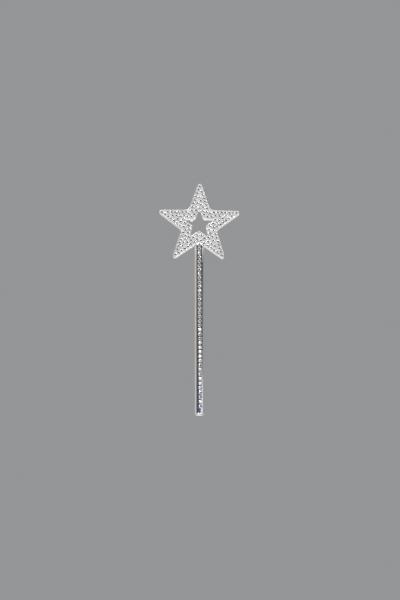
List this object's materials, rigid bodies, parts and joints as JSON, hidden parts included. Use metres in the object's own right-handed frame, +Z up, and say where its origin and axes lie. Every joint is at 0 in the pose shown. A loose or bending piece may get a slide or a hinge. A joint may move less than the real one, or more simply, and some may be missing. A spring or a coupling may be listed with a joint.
{
  "type": "magic wand",
  "caption": "Silver star-headed magic wand: a flat hollow star with a star cut-out, paved with round crystals, on a chromed rod with a crystal strip down its front.",
  "frame": {"origin": "on the rod's axis, 60 mm above the foot, where the hand closes round the rod", "axes": "+Z up the rod towards the star, -Y out of the face that carries the stones, +X to the right as seen from that face"},
  "size_m": [0.1004, 0.0133, 0.2944],
  "materials": {
    "star_silver": "polished",
    "rod_chrome": "polished",
    "crystal": "gloss",
    "strip_band": "satin",
    "grey_plastic": "matte"
  },
  "bodies": {
    "root": {"star_front_shell": "star_silver", "star_back_shell": "star_silver", "star_stones_arm_1": "crystal", "star_stones_arm_2": "crystal", "star_stones_arm_3": "crystal", "star_stones_arm_4": "crystal", "star_stones_arm_5": "crystal", "star_stone_loose": "crystal", "neck_plug": "grey_plastic", "rod_tube": "rod_chrome", "strip_band": "strip_band", "rod_stone_01": "crystal", "rod_stone_02": "crystal", "rod_stone_03": "crystal", "rod_stone_04": "crystal", "rod_stone_05": "crystal", "rod_stone_06": "crystal", "rod_stone_07": "crystal", "rod_stone_08": "crystal", "rod_stone_09": "crystal", "rod_stone_10": "crystal", "rod_stone_11": "crystal", "rod_stone_12": "crystal", "rod_stone_13": "crystal", "rod_stone_14": "crystal", "rod_stone_15": "crystal", "rod_stone_16": "crystal", "rod_stone_17": "crystal", "rod_stone_18": "crystal", "rod_stone_19": "crystal", "rod_stone_20": "crystal", "rod_stone_21": "crystal", "rod_stone_22": "crystal", "rod_stone_23": "crystal", "rod_stone_24": "crystal", "rod_stone_25": "crystal", "rod_stone_26": "crystal", "rod_stone_27": "crystal", "rod_stone_28": "crystal", "rod_stone_29": "crystal", "rod_stone_30": "crystal", "rod_stone_31": "crystal", "rod_stone_32": "crystal", "rod_stone_33": "crystal", "rod_stone_34": "crystal", "rod_stone_35": "crystal", "rod_stone_36": "crystal", "rod_stone_37": "crystal", "rod_stone_38": "crystal", "end_cap": "rod_chrome"}
  },
  "joints": []
}
